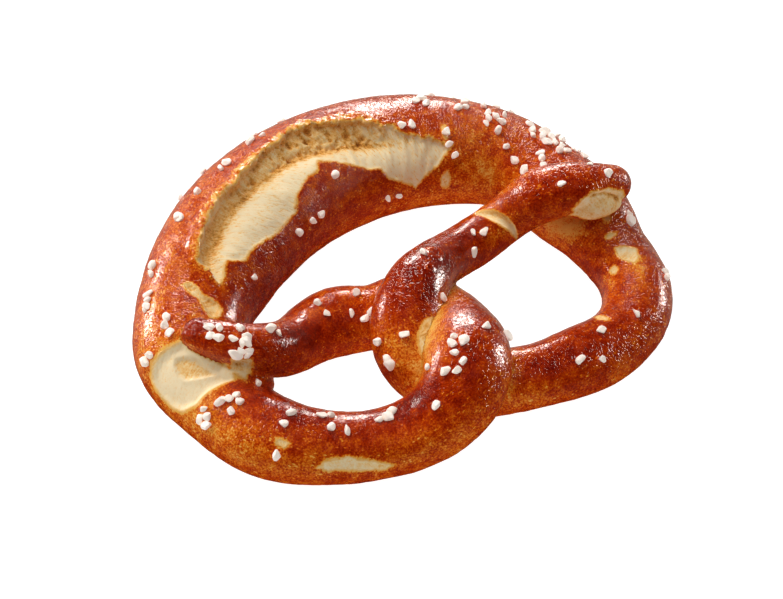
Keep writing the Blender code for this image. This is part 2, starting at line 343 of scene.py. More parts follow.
def unrolled(s, angle):
    """Places as mm along the rope and mm round it."""
    return np.stack((s, np.radians(angle) * rope.radius(s)), axis=1)


def outline_on_rope(station, points):
    """An outline of (mm past the station, angle) pairs on the unrolled rope."""
    pairs = np.array(points, dtype=float)
    return unrolled(rope.place[station] + pairs[:, 0], pairs[:, 1])


def patch_depth(s, angle, patch):
    """Mm inside a torn outline on the rope; negative outside it."""
    outline = outline_on_rope(*patch)
    depth = np.full(len(s), -FAR)
    near = (s > outline[:, 0].min() - FAR) & (s < outline[:, 0].max() + FAR)
    depth[near] = outline_depth(unrolled(s[near], angle[near]), outline)
    return depth


class Burst:
    """The long burst: mm below its upper lip, above its lower edge and from the foot of its wall."""

    def __init__(self, s, angle, ragged):
        self.local = s - rope.place["belly_2"]
        first, last = BURST_UPPER[0][0], BURST_UPPER[-1][0]
        near = (self.local > first - 12.0) & (self.local < last + 12.0) & (angle > -60.0) & (angle < 170.0)
        flat, local, angle = unrolled(s[near], angle[near]), self.local[near], angle[near]
        lip, foot, edge = (outline_on_rope("belly_2", line)
                           for line in (BURST_UPPER, BURST_FOOT, BURST_LOWER))
        inside = inside_outline(flat, np.vstack((lip, edge[::-1][1:-1])))
        span = (local > first) & (local < last)
        under, past = (np.interp(local, *zip(*line)) > angle for line in (BURST_UPPER, BURST_FOOT))
        over = np.interp(local, *zip(*BURST_LOWER)) < angle
        below = line_distance(flat, lip) * np.where(inside | (span & under), 1, -1)
        above = line_distance(flat, edge) * np.where(inside | (span & over), 1, -1)
        self.below_lip, self.above_edge, self.past_foot = (np.full(len(s), -99.0) for _line in range(3))
        self.below_lip[near] = below + 1.9 * ragged[near] + 0.7 * noise(np.c_[flat, 0.0 * below], 4.5, 14)
        self.above_edge[near] = above + ragged[near]
        self.past_foot[near] = line_distance(flat, foot) * np.where(past, 1, -1)
        self.depth_inside = np.minimum(self.below_lip, self.above_edge)
        fade = 1.0 - ease((self.local - BURST_FADE[0]) / BURST_FADE[1])
        self.depth = BURST_DEPTH * ease((self.local - 2.0) / 14.0) * (0.2 + 0.8 * fade)
        self.wall = ease(0.5 - self.past_foot / 0.8) * ease(self.depth_inside / 0.4)
        self.wall *= ease((self.local - 4.0) / 10.0) * fade
        self.porous = ease((self.local - BURST_POROUS[0]) / BURST_POROUS[1])
        ragged_part = ease((self.local - 12.0) / 12.0)
        self.fringe = bell(self.below_lip + 0.9, 0.9 + 1.0 * ragged_part) * (0.5 + 0.5 * ragged_part) * fade

    def relief(self):
        """Height over the plain rope, and how far the point slides towards the upper lip."""
        below = np.clip(self.below_lip, 0.0, None)
        to_foot = np.clip(-self.past_foot, 0.0, None)
        from_foot = np.clip(self.past_foot, 0.0, None)
        down_wall = below / (below + to_foot + 1e-6)
        past_wall = from_foot / (from_foot + np.clip(self.above_edge, 0.0, None) + 1e-6)
        dish = self.depth * np.where(self.past_foot < 0.0, ease(down_wall) ** 0.6, (1.0 - past_wall) ** 1.4)
        height = -ease(self.depth_inside / 0.5) * (dish + CRUST_EDGE)
        lip = self.depth / BURST_DEPTH
        height += lip * LIP_RISE * bell(self.below_lip, 3.2) * (self.below_lip <= 0.0)
        hangs_over = (self.below_lip > 0.0) * (self.above_edge > 0.0)
        height += lip * LIP_RISE * ease(1.0 - self.below_lip / 0.8) * hangs_over
        slide = lip * (1.3 * bell(self.below_lip - 1.4, 0.9) - 0.9 * bell(self.below_lip + 0.3, 0.9))
        return height, slide


def oval_depth(s, angle, station, mm, middle, half_along, half_round):
    """Mm inside an oval on the rope; negative outside it."""
    off_s = s - rope.place[station] - mm
    off_t = np.radians(angle - middle) * rope.radius(s)
    return (1.0 - np.hypot(off_s / half_along, off_t / half_round)) * min(half_along, half_round)


# -------- the dough

RING_STEP = 0.6            # of the detailed rope, mm
COLUMNS = 240
VOXEL = 0.5                # of the mesh that fuses the strands, mm
MOST_TRIANGLES = 185000
MIDDLE = (2.971, 5.512)    # of the plan, which lies over the origin in the CAD
INSET = 0.02               # kept free inside the CAD box and at the rope's two ends, mm
OTHER_STRAND = 40.0        # mm along the rope past which dough belongs to another strand
GAP_SQUARE = 200.0         # square of the widest gap between strands that matters, mm2


def plain_points(s, angle):
    """Points of the rope without any relief."""
    centre, _forward, side, up, half_width, half_height = rope.frame(s)
    rounding = rope.end_rounding(s)
    turn = np.radians(angle)
    right = half_width * rounding * np.cos(turn)
    high = half_height * rounding * np.sin(turn)
    return centre + right[:, None] * side + high[:, None] * up


def ragged_edge(place):
    """The ragged course of a torn crust's edge, in mm."""
    return 0.55 * rough_noise(place, 2.6, 11) + 0.30 * noise(place, 0.9, 12)


def dough_relief(s, angle, place):
    """Height over the plain rope and slide round it, from the torn places and the lumps, in mm."""
    height, slide = Burst(s, angle, ragged_edge(place)).relief()
    height += 0.30 * noise(place, 21.0, 3) + 0.18 * noise(place, 8.0, 4)
    tear, facet = (patch_depth(s, angle, patch) for patch in (TEAR, FACET))
    height -= 1.4 * ease(tear / 1.8) + 0.8 * ease(facet / 0.7)
    height += 0.3 * bell(facet, 0.7) * (tear > 0.5)
    for station, outline, deep, _brown in TORN_PATCHES:
        height -= deep * ease(patch_depth(s, angle, (station, outline)) / 1.3)
    return height, slide


def fine_rope():
    """Points of the detailed rope with their place along it and angle round it."""
    rings = int(rope.length / RING_STEP)
    s = np.repeat(np.linspace(INSET, rope.length - INSET, rings), COLUMNS)
    angle = np.tile(np.arange(COLUMNS) * 360.0 / COLUMNS - 90.0, rings)
    centre, _forward, side, up, half_width, half_height = rope.frame(s)
    rounding = rope.end_rounding(s)
    wide, tall = half_width * rounding, half_height * rounding
    height, slide = dough_relief(s, angle, plain_points(s, angle))
    height *= rounding
    turn = np.radians(angle) + slide / np.maximum(0.5 * (wide + tall), 1.0)
    right = (wide + height) * np.cos(turn)
    high = (tall + height) * np.sin(turn)
    return centre + right[:, None] * side + high[:, None] * up, s, angle


def tube_faces(count):
    """Quads of the tube through all rings, and its two end faces."""
    rings = count // COLUMNS
    ring, column = np.meshgrid(np.arange(rings - 1), np.arange(COLUMNS), indexing="ij")
    here = ring * COLUMNS + column
    beside = ring * COLUMNS + (column + 1) % COLUMNS
    quads = np.stack((here, beside, beside + COLUMNS, here + COLUMNS), axis=-1)
    first = list(range(COLUMNS))[::-1]
    last = list(range(count - COLUMNS, count))
    return quads.reshape(-1, 4).tolist() + [first, last]


# Where each web is torn: from and to, in mm along it past its middle, and above which height.
WEB_TORN = {"left_end": ((-9.0, -7.2, -9.0), (-6.3, -1.7, 4.2)), "right_end": ((-8.0, 9.0, -0.5),)}


def web_ball(station, offset, half_sizes):
    """Centre, axes and half sizes of a web of dough beside an end."""
    centre, forward, side, up, _width, _height = rope.frame(np.array((rope.place[station],)))
    axes = np.vstack((side, forward, up))
    return centre[0] + np.array(offset) @ axes, axes, np.array(half_sizes)


def web_depth(points, web):
    """Mm inside the torn part of a web's ellipsoid; negative outside it."""
    centre, axes, half_sizes = web_ball(*web)
    local = (points - centre) @ axes.T
    reach = np.linalg.norm(local / half_sizes, axis=1)
    _right, ahead, up = local.T
    torn = np.maximum.reduce([np.minimum.reduce((ahead - start, stop - ahead, up - lowest))
                              for start, stop, lowest in WEB_TORN[web[0]]])
    return np.minimum((1.0 - reach) * half_sizes.mean() + 0.6, torn)


def unit_ball(steps):
    """Points and triangles of a ball of radius 1."""
    ball = bmesh.new()
    bmesh.ops.create_icosphere(ball, subdivisions=steps, radius=1.0)
    points = np.array([vert.co[:] for vert in ball.verts])
    faces = np.array([[vert.index for vert in face.verts] for face in ball.faces])
    ball.free()
    return points, faces


def web_shell(web):
    """Points and faces of a web's ellipsoid."""
    centre, axes, half_sizes = web_ball(*web)
    points, faces = unit_ball(4)
    return points * half_sizes @ axes + centre, faces


def make_mesh(name, points, faces):
    """A mesh from points in millimetres."""
    mesh = bpy.data.meshes.new(name)
    mesh.from_pydata((points * MM).tolist(), [], faces)
    return mesh


def read_vectors(items, name):
    """One vector of every item of a mesh."""
    values = np.empty(len(items) * 3, dtype=np.float32)
    items.foreach_get(name, values)
    return values.reshape(-1, 3).astype(float)


def mesh_points(mesh):
    """Vertex places in millimetres."""
    return read_vectors(mesh.vertices, "co") / MM


def mesh_normals(mesh):
    """Vertex normals."""
    return read_vectors(mesh.vertex_normals, "vector")


def set_points(mesh, points):
    """Moves a mesh's vertices, given in millimetres."""
    mesh.vertices.foreach_set("co", (points * MM).astype(np.float32).ravel())
    mesh.update()


def add(name, data):
    """A new object in the scene."""
    thing = bpy.data.objects.new(name, data)
    bpy.context.collection.objects.link(thing)
    return thing


def with_modifiers(mesh, *modifiers):
    """The mesh that the given modifiers make of a mesh."""
    thing = add("work", mesh)
    for kind, settings in modifiers:
        modifier = thing.modifiers.new(kind, kind)
        for name, value in settings.items():
            setattr(modifier, name, value)
    made = bpy.data.meshes.new_from_object(thing.evaluated_get(bpy.context.evaluated_depsgraph_get()))
    bpy.data.objects.remove(thing)
    bpy.data.meshes.remove(mesh)
    return made


class RopePlaces:
    """Finds where points lie on the rope: mm along it and angle round it."""

    def __init__(self, points, s, angle):
        self.points, self.s, self.angle = points, s, angle
        self.tree = KDTree(len(points))
        for i, point in enumerate(points.tolist()):
            self.tree.insert(point, i)
        self.tree.balance()

    def __call__(self, points):
        nearest = np.array([self.tree.find(point)[1] for point in points.tolist()])
        s, angle = self.s[nearest], self.angle[nearest]
        off = points - self.points[nearest]
        _centre, forward, side, up, half_width, half_height = rope.frame(s)
        turn = np.radians(angle)
        tangent = (-half_width * np.sin(turn))[:, None] * side + (half_height * np.cos(turn))[:, None] * up
        more = np.einsum("ij,ij->i", off, tangent) / np.einsum("ij,ij->i", tangent, tangent)
        ahead = np.clip(np.einsum("ij,ij->i", off, forward), -RING_STEP, RING_STEP)
        step = 360.0 / COLUMNS
        return np.clip(s + ahead, INSET, rope.length - INSET), angle + np.clip(np.degrees(more), -step, step)


def strand_gap(points, s):
    """Distance of each point to the nearest other strand, in mm, up to about 14."""
    coarse_s = np.repeat(np.arange(4.0, rope.length - 4.0, 2.0), 24)
    coarse = plain_points(coarse_s, np.tile(np.arange(24) * 15.0, len(coarse_s) // 24))
    gap = np.empty(len(points))
    for start in range(0, len(points), 4000):
        part = slice(start, start + 4000)
        square = (points[part] ** 2).sum(axis=1)[:, None] + (coarse ** 2).sum(axis=1)
        square -= 2.0 * points[part] @ coarse.T
        square[np.abs(s[part][:, None] - coarse_s) < OTHER_STRAND] = GAP_SQUARE
        gap[part] = np.sqrt(np.clip(square.min(axis=1), 0.0, GAP_SQUARE))
    return gap


# -------- what each place of the dough is like

class Places:
    """Everything the fine relief and the looks need to know of each vertex."""

    def __init__(self, points, s, angle):
        self.points, self.s, self.angle = points, s, angle
        self.plain = plain_points(s, angle)
        self.flat = np.stack((s, np.radians(angle) * rope.radius(s), np.zeros(len(s))), axis=1)
        ragged = ragged_edge(self.plain)
        self.burst = Burst(s, angle, ragged)
        self.tear, self.facet, crack = (patch_depth(s, angle, patch) for patch in (TEAR, FACET, CRACK))
        self.crack = crack + 0.3 * ragged
        self.past_crack = s - rope.place["right_arm_2"] - 10.2 + CRACK_LEAN * (angle - 60.0)
        self.blemish = np.full(len(s), -FAR)
        for oval in BLEMISHES:
            self.blemish = np.maximum(self.blemish, oval_depth(s, angle, *oval))
        self.blemish += 0.8 * rough_noise(self.plain, 1.8, 13)
        self.patches = [patch_depth(s, angle, patch[:2]) + 0.9 * ragged for patch in TORN_PATCHES]
        self.webs = np.maximum.reduce([web_depth(points, web) for web in WEBS])
        fold = outline_on_rope("right_end", FOLD)
        self.fold = np.full(len(s), FAR)
        near = s > rope.place["right_end"] - 6.0
        self.fold[near] = line_distance(self.flat[near, :2], fold)
        self.crumb = np.maximum.reduce([self.burst.depth_inside, self.tear + 0.4 * ragged, self.crack,
                                        self.blemish, self.webs, *self.patches])
        self.end = bell(s - 1.0, 8.0) * ease(angle / 30.0)

    def noise(self, size, seed):
        """Noise from -1 to 1 with lumps of a size in mm."""
        return noise(self.plain, size, seed)


def blisters(place):
    """1 on the rim of each blister and fading from it."""
    rim = np.zeros(len(place.s))
    for station, mm, angle, radius in BLISTERS:
        inside = oval_depth(place.s, place.angle, station, mm, angle, radius, radius)
        rim = np.maximum(rim, bell(inside, 0.28 * radius))
    return rim


def fine_relief(place):
    """Small heights along the normals, in mm."""
    burst = place.burst
    crumb = ease(place.crumb / 0.5)
    height = (1.0 - crumb) * (0.07 * place.noise(2.4, 21) + 0.045 * place.noise(1.4, 22))
    streaks = noise(place.flat, (1.9, 9.0, 1.0), 31) + 0.6 * noise(place.flat, (1.1, 5.0, 1.0), 32)
    to_right = ease((burst.local - 55.0) / 30.0)
    body = ease(burst.depth_inside / 0.8) * (1.0 - burst.wall)
    height += body * ((0.12 + 0.24 * to_right) * streaks + 0.25 * place.noise(6.0, 33))
    height += 0.35 * bell(burst.past_foot, 0.7) * ease(burst.depth_inside / 0.8) * burst.depth / BURST_DEPTH
    lumps = 0.35 * place.noise(1.5, 34) * burst.porous
    height -= burst.wall * (1.5 * wall_pores(place) - 0.3 - lumps)
    height += burst.fringe * (0.30 + 0.55 * place.noise(1.2, 35) + 0.3 * place.noise(0.8, 36))
    height -= 0.7 * bell(place.fold, 0.5)
    for depth in place.patches:
        height += 0.16 * ease(depth / 0.6) * rough_noise(place.plain, 1.6, 54, 2)
    height -= 1.1 * ease(place.crack / 1.4)
    height += 0.35 * bell(place.crack + 0.5, 0.7)
    height += 0.10 * ease(place.tear / 1.0) * place.noise(3.0, 51)
    height -= 0.25 * ease(place.blemish / 0.6)
    height += 0.35 * blisters(place)
    height += place.end * (0.55 * noise(place.flat, (2.4, 1.1, 1.0), 52) + 0.25 * place.noise(1.1, 53))
    return height


def wall_pores(place):
    """1 in the middle of each pore of the burst's wall, 0 between them."""
    walls = np.flatnonzero(place.burst.wall > 0.02)
    pores = np.zeros(len(place.s))
    large = ease(1.0 - cell_distance(place.plain[walls], 3.6, 41) / 0.5)
    small = ease(1.0 - cell_distance(place.plain[walls], 1.8, 42) / 0.5)
    pores[walls] = np.maximum(large, 0.6 * small) * place.burst.porous[walls]
    return pores


# Where the crust baked paler or darker, by station: mm along, angle, how far it reaches along
# in mm and round in degrees, and by how much (1: from golden to nearly black).
BAKE = [
    ("belly_1", [(8, 125, 22, 35, -0.12)]),
    ("belly_3", [(0, 120, 26, 25, -0.17), (0, 5, 60, 30, 0.1)]),
    ("belly_4", [(20, 5, 40, 26, -0.05)]),
    ("belly_5", [(22, 60, 14, 26, -0.05)]),
    ("belly_6", [(2, 50, 14, 34, -0.18), (6, 0, 30, 18, -0.1)]),
    ("belly_7", [(0, 90, 18, 40, -0.08), (0, 28, 10, 16, -0.34)]),
    ("belly_8", [(20, 45, 9, 34, -0.39), (4, 40, 8, 40, -0.31)]),
    ("right_lobe_1", [(2, 25, 7, 26, -0.48), (11, 60, 4, 14, 0.2), (14, 80, 26, 30, -0.05),
        (12, 10, 24, 26, 0.12)]),
    ("right_lobe_3", [(4, 38, 7, 12, -0.22), (0, 90, 8, 16, -0.3)]),
    ("right_lobe_5", [(0, 95, 34, 36, 0.07), (8, 160, 30, 26, -0.02)]),
    ("right_lobe_6", [(0, 112, 12, 20, 0.28)]),
    ("right_under", [(-4, 130, 10, 60, -0.2)]),
    ("right_lift", [(6, 50, 12, 40, -0.37)]),
    ("right_rise", [(4, 60, 10, 40, -0.11), (0, 120, 10, 26, -0.3)]),
    ("right_over", [(-2, 100, 18, 40, 0.18), (0, 52, 12, 16, 0.42)]),
    ("right_arm_1", [(0, 60, 26, 60, 0.22)]),
    ("right_arm_2", [(6, 40, 14, 22, -0.28)]),
    ("right_arm_3", [(0, 105, 14, 24, -0.26)]),
    ("right_arm_4", [(0, 70, 26, 60, 0.04)]),
    ("left_end", [(0, 60, 12, 80, -0.04)]),
    ("left_arm_1", [(5, 55, 12, 26, 0.42)]),
    ("left_arm_3", [(0, 60, 40, 70, 0.04), (4, 105, 20, 26, -0.1)]),
    ("left_rise", [(0, 90, 8, 30, -0.3)]),
    ("left_top", [(6, 30, 16, 30, -0.37)]),
    ("left_over", [(0, 40, 18, 26, -0.11), (-4, 100, 20, 36, 0.1)]),
    ("left_fall", [(6, 150, 18, 30, -0.1), (4, 68, 10, 20, 0.3)]),
    ("left_lobe_2", [(0, 80, 36, 34, 0.16), (0, 160, 40, 22, -0.11)]),
    ("left_lobe_4", [(0, 140, 24, 40, -0.32), (2, 45, 18, 22, 0.28)]),
]
BAKE_BASE = 0.56


def bake_level(place, normals, gap):
    """How dark the crust is, from 0 golden to 1 nearly black."""
    level = BAKE_BASE + 0.06 * normals[:, 2]
    for station, spots in BAKE:
        for mm, angle, reach_along, reach_round, change in spots:
            near = bell(place.s - rope.place[station] - mm, reach_along)
            level += change * (near * bell(place.angle - angle, reach_round))
    level -= 0.30 * bell(gap, 4.5) * ease(place.s / 30.0 - 0.9) + 0.35 * blisters(place) - 0.25 * place.end
    level -= 0.46 * place.burst.fringe * (0.8 + 0.7 * place.noise(1.6, 63))
    level += 0.10 * rough_noise(place.plain, 9.0, 61)
    level -= 0.16 * ease(1.0 - place.points[:, 2] / 4.0)
    return np.clip(level, 0.0, 1.0)


def free_box():
    """The corners in mm between which everything stays."""
    low, high = (np.array(corner) / MM for corner in cad_box)
    return low + INSET, high - INSET


def drop_flakes(mesh):
    """Take out the loose pairs of back-to-back triangles that thinning can leave inside the dough."""
    shape = bmesh.new()
    shape.from_mesh(mesh)
    flakes = [face for face in shape.faces
              if len({beside for edge in face.edges for beside in edge.link_faces}) == 2]
    loose = {corner for face in flakes for corner in face.verts}
    bmesh.ops.delete(shape, geom=list(loose), context="VERTS")
    shape.to_mesh(mesh)
    shape.free()


def make_dough():
    """The pretzel's dough, fused where its strands touch, with what its looks are made from."""
    points, s, angle = fine_rope()
    all_points, faces = points, tube_faces(len(points))
    for web_points, web_faces in map(web_shell, WEBS):
        faces += (web_faces + len(all_points)).tolist()
        all_points = np.vstack((all_points, web_points))
    all_points[:, 2] = np.maximum(all_points[:, 2], 0.0)
    mesh = with_modifiers(make_mesh("dough", all_points, faces),
                          ("REMESH", {"mode": "VOXEL", "voxel_size": VOXEL * MM}),
                          ("SMOOTH", {"factor": 0.5, "iterations": 2}))
    find = RopePlaces(points, s, angle)
    found = mesh_points(mesh)
    set_points(mesh, found + fine_relief(Places(found, *find(found)))[:, None] * mesh_normals(mesh))
    mesh = with_modifiers(mesh, ("DECIMATE", {"ratio": MOST_TRIANGLES / (2 * len(mesh.polygons))}))
    drop_flakes(mesh)
    found = mesh_points(mesh)
    place = Places(found, *find(found))
    gap = strand_gap(found, place.s)
    looks = {
        "bake": bake_level(place, mesh_normals(mesh), gap),
        "crumb": np.clip(place.crumb, -3.0, 6.0),
        # wall carries the crumb's brownness together with its painted shade.
        "wall": browning_and_shade(place),
        "fibres": ease(place.burst.depth_inside) * (1.0 - 0.8 * place.burst.wall),
    }
    for name, values in looks.items():
        mesh.attributes.new(name, "FLOAT", "POINT").data.foreach_set("value", values.astype(np.float32))
    mesh.attributes.new("rope", "FLOAT_VECTOR", "POINT").data.foreach_set(
        "vector", place.flat.astype(np.float32).ravel())
    found[:, :2] -= MIDDLE
    set_points(mesh, np.clip(found, *free_box()))
    mesh.shade_smooth()
    return add("pretzel_dough", mesh)


def browning_and_shade(place):
    """How brown the crumb is: the burst's wall, its foot and the edges of the tears, with painted shade in
    the wall's pores, under its lip where it is porous and along its foot.
    """
    burst = place.burst
    strong = burst.depth / BURST_DEPTH
    # A browner band along the wall's foot: partly the crumb's baked golden edge, partly painted shade in the
    # hollow there.
    body = 0.1 * place.noise(5.0, 72) + 0.60 * strong * bell(burst.past_foot, 2.6)
    slope = 0.52 + 0.1 * place.noise(3.0, 71)
    # Pores darker than the wall between them: painted shade in the pores, with more painted shade at the
    # foot.
    porous = 0.42 + 0.55 * wall_pores(place) + 0.16 * place.noise(2.2, 73)
    porous += 0.25 * bell(burst.past_foot, 0.7)
    wall = slope + (porous - slope) * burst.porous
    # By the upper lip the wall turns pale golden where it is smooth and darker where it is porous: a painted
    # shadow under the lip.
    lip = bell(burst.below_lip - 0.2, 1.0)
    wall += lip * (0.12 + 0.43 * burst.porous - wall)
    brown = np.where(burst.depth_inside > -0.5, body + (wall - body) * burst.wall, 0.0)
    brown += 0.40 * ease(place.facet / 1.4) - 0.1 * bell(place.tear, 2.5)
    brown += (0.34 + 0.11 * place.past_crack) * (place.crack > -0.5)
    brown += 0.35 * ease(place.blemish + 0.6)
    for depth, (_station, _outline, _deep, inside) in zip(place.patches, TORN_PATCHES):
        brown += (inside + 0.22 * place.noise(1.8, 74)) * ease(depth / 0.5)
    # Darker along the fold: a painted shadow in its groove.
    brown += 0.5 * bell(place.fold, 0.6) + 0.16 * ease(place.webs + 0.5) * (place.s > rope.length / 2)
    return np.clip(brown, 0.0, 1.0)


# -------- materials

class Nodes:
    """Builds the nodes of a material or a world: node(kind, inputs by name or place, settings)."""

    def __init__(self, owner):
        owner.use_nodes = True
        self.owner, self.tree = owner, owner.node_tree
        self.tree.nodes.clear()

    def node(self, kind, inputs=None, **settings):
        made = self.tree.nodes.new("ShaderNode" + kind)
        for name, value in settings.items():
            setattr(made, name, value)
        for key, value in (inputs or {}).items():
            if isinstance(value, bpy.types.NodeSocket):
                self.tree.links.new(value, made.inputs[key])
            else:
                made.inputs[key].default_value = value
        return made

    def value(self, name):
        """A number stored on the mesh."""
        return self.node("Attribute", attribute_name=name).outputs["Fac"]

    def rope_place(self):
        """Mm along the rope and mm round it."""
        return self.node("Attribute", attribute_name="rope").outputs["Vector"]

    def maths(self, operation, a, b=0.0, clamp=False):
        return self.node("Math", {0: a, 1: b}, operation=operation, use_clamp=clamp).outputs[0]

    def times(self, a, b):
        return self.maths("MULTIPLY", a, b)

    def plus(self, a, b, clamp=False):
        return self.maths("ADD", a, b, clamp)

    def minus(self, a, b, clamp=False):
        return self.maths("SUBTRACT", a, b, clamp)

    def scaled(self, vector, factors):
        """A vector with each of its three numbers multiplied."""
        return self.node("VectorMath", {0: vector, 1: factors}, operation="MULTIPLY").outputs[0]

    def dot(self, vector, direction):
        return self.node("VectorMath", {0: vector, 1: direction}, operation="DOT_PRODUCT").outputs["Value"]

    def between(self, factor, a, b):
        """A mix of two numbers."""
        return self.node("Mix", {"Factor": factor, 2: a, 3: b}, data_type="FLOAT").outputs[0]

    def span(self, value, low, high, to_low=0.0, to_high=1.0):
        """Smoothly carries low..high to to_low..to_high."""
        inputs = {"Value": value, "From Min": low, "From Max": high, "To Min": to_low, "To Max": to_high}
        return self.node("MapRange", inputs, interpolation_type="SMOOTHSTEP").outputs["Result"]

    def noise(self, size_mm, detail=2.0, vector=None, rough=0.5):
        """Noise from 0 to 1 with lumps of the given size."""
        inputs = {"Scale": 1.0 / size_mm, "Detail": detail, "Roughness": rough, "Vector": vector or self.mm}
        return self.node("TexNoise", inputs).outputs["Fac"]

    def mix(self, factor, a, b):
        """A mix of two colours."""
        return self.node("Mix", {"Factor": factor, 6: a, 7: b}, data_type="RGBA").outputs[2]

    def ramp(self, value, stops):
        """A colour ramp from (place, colour) pairs."""
        made = self.node("ValToRGB", {"Fac": value})
        elements = made.color_ramp.elements
        while len(elements) < len(stops):
            elements.new(0.5)
        for element, (where, colour) in zip(elements, stops):
            element.position = where
            element.color = (*colour, 1.0)
        return made.outputs["Color"]

    def bump(self, height, strength, mm):
        inputs = {"Height": height, "Strength": strength, "Distance": mm * MM}
        return self.node("Bump", inputs).outputs["Normal"]

    def start_mm(self):
        """Object coordinates in millimetres."""
        self.mm = self.scaled(self.node("TexCoord").outputs["Object"], (1.0 / MM,) * 3)

    def principled(self, inputs):
        """Ends the nodes with one shader and gives the material."""
        shader = self.node("BsdfPrincipled", inputs).outputs["BSDF"]
        self.node("OutputMaterial", {"Surface": shader})
        return self.owner


# How brown, and the colour there.
CRUST_COLOURS = [
    (0.0, (0.95, 0.50, 0.10)),
    (0.16, (0.88, 0.29, 0.022)),
    (0.36, (0.74, 0.125, 0.0035)),
    (0.60, (0.48, 0.034, 0.0008)),
    (0.84, (0.28, 0.010, 0.0003)),
    (1.0, (0.17, 0.004, 0.0002)),
]
# The crumb's darker stops also give the painted shade in its pores, holes, grooves and fold.
CRUMB_COLOURS = [
    (0.0, (0.97, 0.78, 0.49)),
    (0.30, (0.95, 0.64, 0.27)),
    (0.52, (0.86, 0.42, 0.09)),
    (0.72, (0.60, 0.235, 0.035)),
    (1.0, (0.25, 0.070, 0.010)),
]
SALT_COLOURS = [(0.3, (1.0, 0.85, 0.73)), (0.65, (1.0, 0.92, 0.83))]

SPECKLE = (1.2, 1.7)       # how strongly dark and pale crust are speckled
DOT_SIZE = 0.8             # of the darker dots, mm
WRINKLE_DEPTH = 0.13       # of the finest wrinkles and fibres, mm
CRUST_ROUGHNESS = (0.10, 0.16)
CRUMB_ROUGHNESS = 0.85
SALT_PITS = 0.15           # depth of the salt's roughness, mm
FIBRE_SLANT = (1.0, 0.5, 0.0)      # mm along the rope and round it that a fibre's place is counted in
FIBRE_STRETCH = (0.0, 0.30, 0.0)   # and how much slower it changes round the rope


def crust_look(n, bake, crumb_edge):
    """The crust's colour and its fine wrinkles."""
    rope_place = n.rope_place()
    pale = n.span(bake, 0.66, 0.34)
    mottle = n.span(n.noise(3.6, 2.0), 0.32, 0.68, -0.10, 0.12)
    grain = n.minus(n.noise(0.62, 3.0, rough=0.7), 0.5)
    level = n.plus(n.plus(bake, mottle), n.times(grain, n.span(pale, 0.0, 1.0, *SPECKLE)))
    long = n.scaled(rope_place, (0.5, 1.0, 1.0))
    cells = n.node("TexVoronoi", {"Vector": long, "Scale": 1.0 / DOT_SIZE, "Randomness": 1.0})
    dots = n.times(n.span(cells.outputs["Distance"], 0.36, 0.16), n.span(n.noise(2.6, 2.0), 0.44, 0.62))
    level = n.minus(level, n.times(dots, 0.40))
    level = n.minus(level, n.span(crumb_edge, -0.95, -0.05, 0.0, 0.55), clamp=True)
    across = n.scaled(rope_place, (1.0, 0.5, 1.0))
    crease = n.minus(n.noise(1.3, 2.0, vector=across, rough=0.6), 0.5)
    wrinkle = n.times(n.span(n.maths("ABSOLUTE", crease), 0.0, 0.06), 0.6)
    wrinkle = n.plus(wrinkle, n.times(n.noise(0.6, 2.0), 0.4))
    return n.ramp(level, CRUST_COLOURS), wrinkle


def crumb_look(n, wall, crumb_edge):
    """The crumb's colour, painted shade included, and its fine fibres."""
    rope_place = n.rope_place()
    beside, along_fibre = n.dot(rope_place, FIBRE_SLANT), n.dot(rope_place, FIBRE_STRETCH)
    fibre_space = n.node("CombineXYZ", {"X": beside, "Y": along_fibre}).outputs["Vector"]
    fibres = n.noise(0.70, 3.0, vector=fibre_space, rough=0.6)
    holes = n.noise(1.3, 2.0)
    fine = n.minus(0.5, n.noise(0.55, 2.0))
    # Strokes darken the crumb in the fibres' grooves, partly its own streaks and partly painted shade; low
    # hole noise darkens it where the bump sinks, painted shade in the holes.
    strokes = n.times(n.minus(0.50, fibres), n.span(n.value("fibres"), 0.0, 1.0, 0.7, 1.8))
    tan = n.plus(n.times(wall, 0.90), n.plus(strokes, n.times(fine, 0.7)))
    tan = n.plus(tan, n.times(n.minus(0.5, holes), 0.4), clamp=True)
    tan = n.maths("MAXIMUM", tan, n.span(crumb_edge, 0.9, 0.1, 0.0, 0.42))
    return n.ramp(tan, CRUMB_COLOURS), n.plus(n.times(fibres, 1.6), n.times(holes, 0.8))


def dough_material():
    """Lye crust from golden to mahogany, torn crumb inside it, and the thin golden rim between."""
    n = Nodes(bpy.data.materials.new("baked_crust"))
    n.start_mm()
    edge = n.plus(n.value("crumb"), n.times(n.minus(n.noise(0.8, 2.0), 0.5), 0.9))
    crust, wrinkle = crust_look(n, n.value("bake"), edge)
    crumb, fibres = crumb_look(n, n.value("wall"), edge)
    inside = n.span(edge, -0.08, 0.12)
    bump = n.bump(n.between(inside, wrinkle, fibres), 1.0, WRINKLE_DEPTH)
    rough = n.between(inside, n.span(n.noise(2.0), 0.3, 0.7, *CRUST_ROUGHNESS), CRUMB_ROUGHNESS)
    return n.principled({"Base Color": n.mix(inside, crust, crumb), "Roughness": rough, "Normal": bump,
                         "IOR": 1.5})


def salt_material():
    """Coarse salt: white, with a faint painted glow, emission that stands in for the light passing through
    the grains.
    """
    n = Nodes(bpy.data.materials.new("coarse_salt"))
    n.start_mm()
    cloudy = n.noise(1.6, 3.0)
    bump = n.bump(n.noise(0.7, 3.0), 0.4, SALT_PITS)
    return n.principled({
        "Base Color": n.ramp(cloudy, SALT_COLOURS), "Roughness": n.span(cloudy, 0.3, 0.7, 0.4, 0.6),
        # Painted glow: emission in place of light that passes through the salt.
        "Normal": bump, "Emission Color": (1.0, 0.80, 0.66, 1.0), "Emission Strength": 0.14,
    })


# -------- salt

